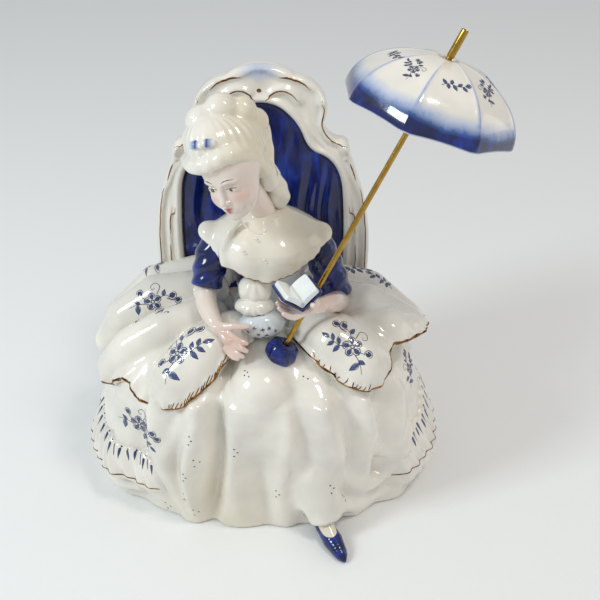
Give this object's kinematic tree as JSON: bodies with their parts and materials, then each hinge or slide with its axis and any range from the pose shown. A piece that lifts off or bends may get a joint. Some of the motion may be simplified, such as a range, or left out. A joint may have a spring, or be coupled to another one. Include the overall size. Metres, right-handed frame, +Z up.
{
  "type": "porcelain figurine",
  "caption": "Glazed porcelain lady reading in a cartouche-backed chair, wide draped skirt, cobalt and gold decoration, with a lift-out parasol on a brass rod.",
  "frame": {"origin": "middle of the flat foot, on the surface that the figurine stands on", "axes": "+Z up, -Y the way the lady faces, +X her left side, where the parasol is"},
  "size_m": [0.2043, 0.1464, 0.2516],
  "materials": {
    "white_porcelain": "clear gloss glaze over white porcelain",
    "cobalt_glaze": "streaky cobalt under a clear gloss glaze",
    "flesh_porcelain": "pale flesh tint under a soft gloss glaze",
    "bisque": "unglazed, fine matt bisque",
    "brass": "drawn brass, lightly tarnished",
    "gilding": "worn fired gilding on the edges"
  },
  "bodies": {
    "figurine": {"foot_plate": "bisque", "underskirt": "white_porcelain", "lap": "white_porcelain", "overskirt_right": "white_porcelain", "overskirt_left": "white_porcelain", "flounce_right": "white_porcelain", "flounce_left": "white_porcelain", "chair_frame": "white_porcelain", "chair_panel": "cobalt_glaze", "chair_base": "white_porcelain", "bodice": "white_porcelain", "cape": "white_porcelain", "head": "flesh_porcelain", "hair": "white_porcelain", "hair_ringlet": "white_porcelain", "hair_bow": "cobalt_glaze", "sleeve_right": "cobalt_glaze", "sleeve_left": "cobalt_glaze", "forearm_right": "flesh_porcelain", "forearm_left": "flesh_porcelain", "book_cover": "cobalt_glaze", "book_pages": "white_porcelain", "jabot_upper": "white_porcelain", "jabot_middle": "white_porcelain", "jabot_lower": "white_porcelain", "stocking": "white_porcelain", "shoe": "cobalt_glaze", "parasol_socket": "cobalt_glaze"},
    "parasol_stem": {"parasol_rod": "brass", "parasol_collar": "brass", "parasol_ferrule": "brass"},
    "parasol_top": {"parasol_canopy": "white_porcelain"}
  },
  "joints": [
    {"name": "parasol_lift", "type": "slide", "parent": "figurine", "child": "parasol_stem", "axis": [0.4482, 0.116, 0.8864], "range_m": [0, 0.05]},
    {"name": "parasol_spin", "type": "hinge", "parent": "parasol_stem", "child": "parasol_top", "pos_m": [0.0132, -0.038, 0.102], "axis": [0.4482, 0.116, 0.8864], "continuous": true}
  ]
}
